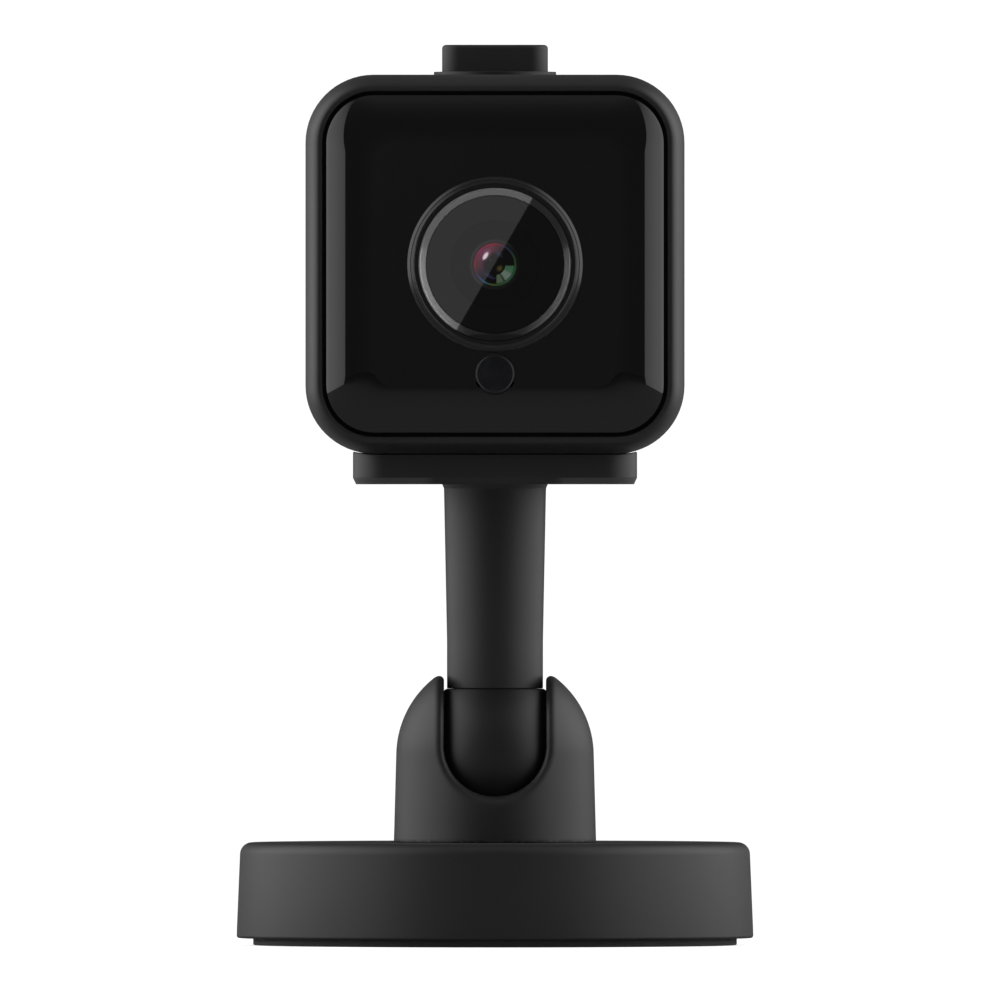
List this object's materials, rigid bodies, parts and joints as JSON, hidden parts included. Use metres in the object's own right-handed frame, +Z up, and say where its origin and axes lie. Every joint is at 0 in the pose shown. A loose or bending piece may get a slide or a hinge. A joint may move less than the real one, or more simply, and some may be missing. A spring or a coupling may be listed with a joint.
{
  "type": "security camera",
  "caption": "Small cube security camera with a glossy front, a round lens and a top button, on an arm with a slotted ball joint and a round weighted base",
  "frame": {"origin": "bottom centre of the foot pad, on the table", "axes": "+Z up along the arm, the lens looks along -Y, +X is to the right when the camera is seen from its front"},
  "size_m": [0.0684, 0.0684, 0.1191],
  "materials": {
    "matte_black": "fine textured satin black moulded plastic",
    "gloss_black": "polished black infrared passing plastic",
    "satin_black": "smooth satin black moulded plastic",
    "ball_black": "smooth dark moulded plastic, slightly worn where it slides",
    "dark_plastic": "dull black inner plastic",
    "foot_rubber": "soft black rubber sheet",
    "ballast_iron": "bare cast weight",
    "screw_steel": "zinc plated steel",
    "brass": "bare brass",
    "white_nylon": "natural white bearing plastic",
    "foam_gasket": "black foam tape",
    "trim_metal": "dark anodised ring with a bright chamfer",
    "cover_glass": "clear flat cover glass",
    "coated_glass": "lens glass with a magenta and green coating",
    "smoked_window": "smoked window with a blue tint",
    "chip_black": "moulded chip package",
    "circuit_board": "green solder mask on glass fibre board",
    "white_board": "white solder mask board",
    "led_clear": "clear moulded emitter",
    "tin_plate": "bright tin plate",
    "sink_aluminium": "extruded aluminium",
    "flex_film": "amber flexible film",
    "speaker_fabric": "fine black acoustic cloth"
  },
  "bodies": {
    "base": {"base_pad": "foot_rubber", "base_shell": "matte_black", "base_bottom_cover": "matte_black", "ballast_ring": "ballast_iron", "base_screws": "screw_steel", "socket_yoke": "matte_black", "yoke_screws": "screw_steel", "socket_plug": "dark_plastic", "socket_spring": "screw_steel", "ball_cup": "white_nylon"},
    "ball": {"joint_ball": "ball_black", "pivot_bolt": "screw_steel", "friction_washer": "brass", "pivot_nut": "screw_steel"},
    "arm": {"stem": "matte_black", "stem_screws": "screw_steel", "head_plate": "matte_black", "mount_screws": "screw_steel", "mount_inserts": "brass", "camera_housing": "matte_black", "rear_cover": "matte_black", "housing_screws": "screw_steel", "panel_gasket": "foam_gasket", "front_panel": "gloss_black", "lens_bezel": "satin_black", "lens_trim_ring": "trim_metal", "lens_window": "cover_glass", "lens_baffle": "dark_plastic", "lens_barrel": "dark_plastic", "front_element": "coated_glass", "rear_elements": "coated_glass", "lens_holder": "dark_plastic", "infrared_filter": "cover_glass", "image_sensor": "chip_black", "sensor_board": "circuit_board", "sensor_board_screws": "screw_steel", "led_board": "white_board", "infrared_leds": "led_clear", "light_sensor": "chip_black", "light_sensor_window": "smoked_window", "main_board": "circuit_board", "shield_can": "tin_plate", "heat_sink": "sink_aluminium", "flex_cable": "flex_film", "wifi_antenna": "flex_film", "speaker": "dark_plastic", "speaker_cloth": "speaker_fabric", "microphone": "tin_plate", "io_board": "circuit_board", "usb_port": "tin_plate", "card_socket": "tin_plate", "reset_switch": "chip_black", "button_flange": "matte_black", "button_board": "circuit_board", "tact_switch": "chip_black"},
    "top_button": {"top_button": "satin_black"},
    "reset_button": {"reset_button": "dark_plastic"}
  },
  "joints": [
    {"name": "arm_tilt", "type": "hinge", "parent": "base", "child": "ball", "pos_m": [0, 0, 0.025], "axis": [1, 0, 0], "range_deg": [-75, 75]},
    {"name": "arm_twist", "type": "hinge", "parent": "ball", "child": "arm", "pos_m": [0, 0, 0.03393], "axis": [0, 0, 1], "continuous": true},
    {"name": "top_button_press", "type": "slide", "parent": "arm", "child": "top_button", "axis": [0, 0, -1], "range_m": [0, 0.001], "stiffness_N_per_m": 1500},
    {"name": "reset_button_press", "type": "slide", "parent": "arm", "child": "reset_button", "axis": [0, -1, 0], "range_m": [0, 0.0005], "stiffness_N_per_m": 1500}
  ]
}
